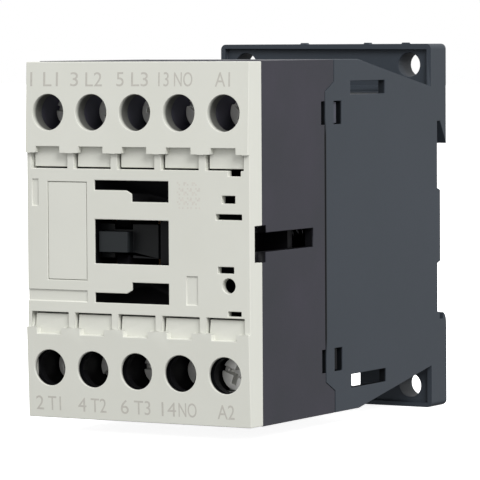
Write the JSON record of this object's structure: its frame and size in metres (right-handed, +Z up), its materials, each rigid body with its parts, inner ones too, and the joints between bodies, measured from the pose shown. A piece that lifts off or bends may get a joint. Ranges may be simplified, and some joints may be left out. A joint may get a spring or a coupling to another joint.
{
  "type": "industrial control relay",
  "caption": "Compact three-pole control relay with screw terminals, light grey front cover, dark housing, an auxiliary contact, and a base for panel screws or a mounting rail.",
  "frame": {"origin": "centre of the four fixing holes on the panel plane", "axes": "+X to the right seen from the front, +Y from the front towards the panel, +Z up"},
  "size_m": [0.045, 0.075, 0.0681],
  "materials": {
    "cover_plastic": "fine matt texture, light grey",
    "label_plastic": "smooth matt, light grey",
    "housing_plastic": "matt glass-filled plastic, charcoal",
    "base_plastic": "matt glass-filled plastic, cool charcoal",
    "carrier_plastic": "satin, dark grey",
    "bobbin_plastic": "satin, natural",
    "pad_rubber": "matt",
    "core_steel": "ground laminated steel",
    "winding_copper": "enamelled copper",
    "contact_brass": "satin copper alloy",
    "contact_silver": "satin silver alloy",
    "zinc_steel": "zinc plated",
    "spring_steel": "drawn wire"
  },
  "bodies": {
    "housing": {"front_cover": "cover_plastic", "marking_label": "label_plastic", "contact_housing": "housing_plastic", "base_housing": "base_plastic", "core_pad": "pad_rubber", "fixed_core": "core_steel", "shading_rings": "winding_copper", "coil_bobbin": "bobbin_plastic", "coil_winding": "winding_copper", "coil_terminal_a1": "contact_brass", "coil_terminal_a2": "contact_brass", "return_spring_left": "spring_steel", "return_spring_right": "spring_steel", "din_latch_spring": "spring_steel", "fixed_contact_tips": "contact_silver", "fixed_contact_l1": "contact_brass", "fixed_contact_l2": "contact_brass", "fixed_contact_l3": "contact_brass", "fixed_contact_13": "contact_brass", "fixed_contact_t1": "contact_brass", "fixed_contact_t2": "contact_brass", "fixed_contact_t3": "contact_brass", "fixed_contact_14": "contact_brass"},
    "carrier": {"contact_carrier": "carrier_plastic", "armature": "core_steel", "armature_pin": "zinc_steel", "contact_spring_l1": "spring_steel", "contact_spring_l2": "spring_steel", "contact_spring_l3": "spring_steel", "contact_spring_no": "spring_steel"},
    "rail_latch": {"din_latch": "housing_plastic"},
    "moving_contact_l1": {"bridge_l1": "contact_brass", "bridge_tips_l1": "contact_silver"},
    "moving_contact_l2": {"bridge_l2": "contact_brass", "bridge_tips_l2": "contact_silver"},
    "moving_contact_l3": {"bridge_l3": "contact_brass", "bridge_tips_l3": "contact_silver"},
    "moving_contact_no": {"bridge_no": "contact_brass", "bridge_tips_no": "contact_silver"},
    "clamp_body_l1": {"clamp_l1": "zinc_steel"},
    "screw_body_l1": {"screw_l1": "zinc_steel"},
    "clamp_body_l2": {"clamp_l2": "zinc_steel"},
    "screw_body_l2": {"screw_l2": "zinc_steel"},
    "clamp_body_l3": {"clamp_l3": "zinc_steel"},
    "screw_body_l3": {"screw_l3": "zinc_steel"},
    "clamp_body_13": {"clamp_13": "zinc_steel"},
    "screw_body_13": {"screw_13": "zinc_steel"},
    "clamp_body_a1": {"clamp_a1": "zinc_steel"},
    "screw_body_a1": {"screw_a1": "zinc_steel"},
    "clamp_body_t1": {"clamp_t1": "zinc_steel"},
    "screw_body_t1": {"screw_t1": "zinc_steel"},
    "clamp_body_t2": {"clamp_t2": "zinc_steel"},
    "screw_body_t2": {"screw_t2": "zinc_steel"},
    "clamp_body_t3": {"clamp_t3": "zinc_steel"},
    "screw_body_t3": {"screw_t3": "zinc_steel"},
    "clamp_body_14": {"clamp_14": "zinc_steel"},
    "screw_body_14": {"screw_14": "zinc_steel"},
    "clamp_body_a2": {"clamp_a2": "zinc_steel"},
    "screw_body_a2": {"screw_a2": "zinc_steel"}
  },
  "joints": [
    {"name": "carrier_slide", "type": "slide", "parent": "housing", "child": "carrier", "axis": [0, 1, 0], "range_m": [0, 0.005], "stiffness_N_per_m": 800, "springref_m": -0.004, "deforming": ["return_spring_left", "return_spring_right"]},
    {"name": "rail_latch_slide", "type": "slide", "parent": "housing", "child": "rail_latch", "axis": [0, 0, -1], "range_m": [0, 0.003], "stiffness_N_per_m": 1000, "springref_m": -0.002, "deforming": ["din_latch_spring"]},
    {"name": "bridge_l1_slide", "type": "slide", "parent": "carrier", "child": "moving_contact_l1", "axis": [0, 1, 0], "range_m": [-0.0015, 0], "deforming": ["contact_spring_l1"]},
    {"name": "bridge_l2_slide", "type": "slide", "parent": "carrier", "child": "moving_contact_l2", "axis": [0, 1, 0], "range_m": [-0.0015, 0], "deforming": ["contact_spring_l2"]},
    {"name": "bridge_l3_slide", "type": "slide", "parent": "carrier", "child": "moving_contact_l3", "axis": [0, 1, 0], "range_m": [-0.0015, 0], "deforming": ["contact_spring_l3"]},
    {"name": "bridge_no_slide", "type": "slide", "parent": "carrier", "child": "moving_contact_no", "axis": [0, 1, 0], "range_m": [-0.0015, 0], "deforming": ["contact_spring_no"]},
    {"name": "clamp_l1_lift", "type": "slide", "parent": "housing", "child": "clamp_body_l1", "axis": [0, 1, 0], "range_m": [-0.0033, 0]},
    {"name": "screw_l1_turn", "type": "hinge", "parent": "clamp_body_l1", "child": "screw_body_l1", "pos_m": [-0.01789, -0.0665, 0.0224], "axis": [0, 1, 0], "range_deg": [-1980, 0]},
    {"name": "clamp_l2_lift", "type": "slide", "parent": "housing", "child": "clamp_body_l2", "axis": [0, 1, 0], "range_m": [-0.0033, 0]},
    {"name": "screw_l2_turn", "type": "hinge", "parent": "clamp_body_l2", "child": "screw_body_l2", "pos_m": [-0.00902, -0.0665, 0.0224], "axis": [0, 1, 0], "range_deg": [-1980, 0]},
    {"name": "clamp_l3_lift", "type": "slide", "parent": "housing", "child": "clamp_body_l3", "axis": [0, 1, 0], "range_m": [-0.0033, 0]},
    {"name": "screw_l3_turn", "type": "hinge", "parent": "clamp_body_l3", "child": "screw_body_l3", "pos_m": [-0.00015, -0.0665, 0.0224], "axis": [0, 1, 0], "range_deg": [-1980, 0]},
    {"name": "clamp_13_lift", "type": "slide", "parent": "housing", "child": "clamp_body_13", "axis": [0, 1, 0], "range_m": [-0.0033, 0]},
    {"name": "screw_13_turn", "type": "hinge", "parent": "clamp_body_13", "child": "screw_body_13", "pos_m": [0.00872, -0.0665, 0.0224], "axis": [0, 1, 0], "range_deg": [-1980, 0]},
    {"name": "clamp_a1_lift", "type": "slide", "parent": "housing", "child": "clamp_body_a1", "axis": [0, 1, 0], "range_m": [-0.0033, 0]},
    {"name": "screw_a1_turn", "type": "hinge", "parent": "clamp_body_a1", "child": "screw_body_a1", "pos_m": [0.01759, -0.0665, 0.0224], "axis": [0, 1, 0], "range_deg": [-1980, 0]},
    {"name": "clamp_t1_lift", "type": "slide", "parent": "housing", "child": "clamp_body_t1", "axis": [0, 1, 0], "range_m": [-0.0033, 0]},
    {"name": "screw_t1_turn", "type": "hinge", "parent": "clamp_body_t1", "child": "screw_body_t1", "pos_m": [-0.01789, -0.0665, -0.0224], "axis": [0, 1, 0], "range_deg": [-1980, 0]},
    {"name": "clamp_t2_lift", "type": "slide", "parent": "housing", "child": "clamp_body_t2", "axis": [0, 1, 0], "range_m": [-0.0033, 0]},
    {"name": "screw_t2_turn", "type": "hinge", "parent": "clamp_body_t2", "child": "screw_body_t2", "pos_m": [-0.00902, -0.0665, -0.0224], "axis": [0, 1, 0], "range_deg": [-1980, 0]},
    {"name": "clamp_t3_lift", "type": "slide", "parent": "housing", "child": "clamp_body_t3", "axis": [0, 1, 0], "range_m": [-0.0033, 0]},
    {"name": "screw_t3_turn", "type": "hinge", "parent": "clamp_body_t3", "child": "screw_body_t3", "pos_m": [-0.00015, -0.0665, -0.0224], "axis": [0, 1, 0], "range_deg": [-1980, 0]},
    {"name": "clamp_14_lift", "type": "slide", "parent": "housing", "child": "clamp_body_14", "axis": [0, 1, 0], "range_m": [-0.0033, 0]},
    {"name": "screw_14_turn", "type": "hinge", "parent": "clamp_body_14", "child": "screw_body_14", "pos_m": [0.00872, -0.0665, -0.0224], "axis": [0, 1, 0], "range_deg": [-1980, 0]},
    {"name": "clamp_a2_lift", "type": "slide", "parent": "housing", "child": "clamp_body_a2", "axis": [0, 1, 0], "range_m": [0, 0.0033]},
    {"name": "screw_a2_turn", "type": "hinge", "parent": "clamp_body_a2", "child": "screw_body_a2", "pos_m": [0.01759, -0.0665, -0.0224], "axis": [0, 1, 0], "range_deg": [0, 1980]}
  ],
  "couplings": [
    {"joint": "bridge_l1_slide", "follows": "carrier_slide", "ratio": -0.3},
    {"joint": "bridge_l2_slide", "follows": "carrier_slide", "ratio": -0.3},
    {"joint": "bridge_l3_slide", "follows": "carrier_slide", "ratio": -0.3},
    {"joint": "bridge_no_slide", "follows": "carrier_slide", "ratio": -0.3},
    {"joint": "screw_l1_turn", "follows": "clamp_l1_lift", "rad_per_m": 10472},
    {"joint": "screw_l2_turn", "follows": "clamp_l2_lift", "rad_per_m": 10472},
    {"joint": "screw_l3_turn", "follows": "clamp_l3_lift", "rad_per_m": 10472},
    {"joint": "screw_13_turn", "follows": "clamp_13_lift", "rad_per_m": 10472},
    {"joint": "screw_a1_turn", "follows": "clamp_a1_lift", "rad_per_m": 10472},
    {"joint": "screw_t1_turn", "follows": "clamp_t1_lift", "rad_per_m": 10472},
    {"joint": "screw_t2_turn", "follows": "clamp_t2_lift", "rad_per_m": 10472},
    {"joint": "screw_t3_turn", "follows": "clamp_t3_lift", "rad_per_m": 10472},
    {"joint": "screw_14_turn", "follows": "clamp_14_lift", "rad_per_m": 10472},
    {"joint": "screw_a2_turn", "follows": "clamp_a2_lift", "rad_per_m": 10472}
  ]
}
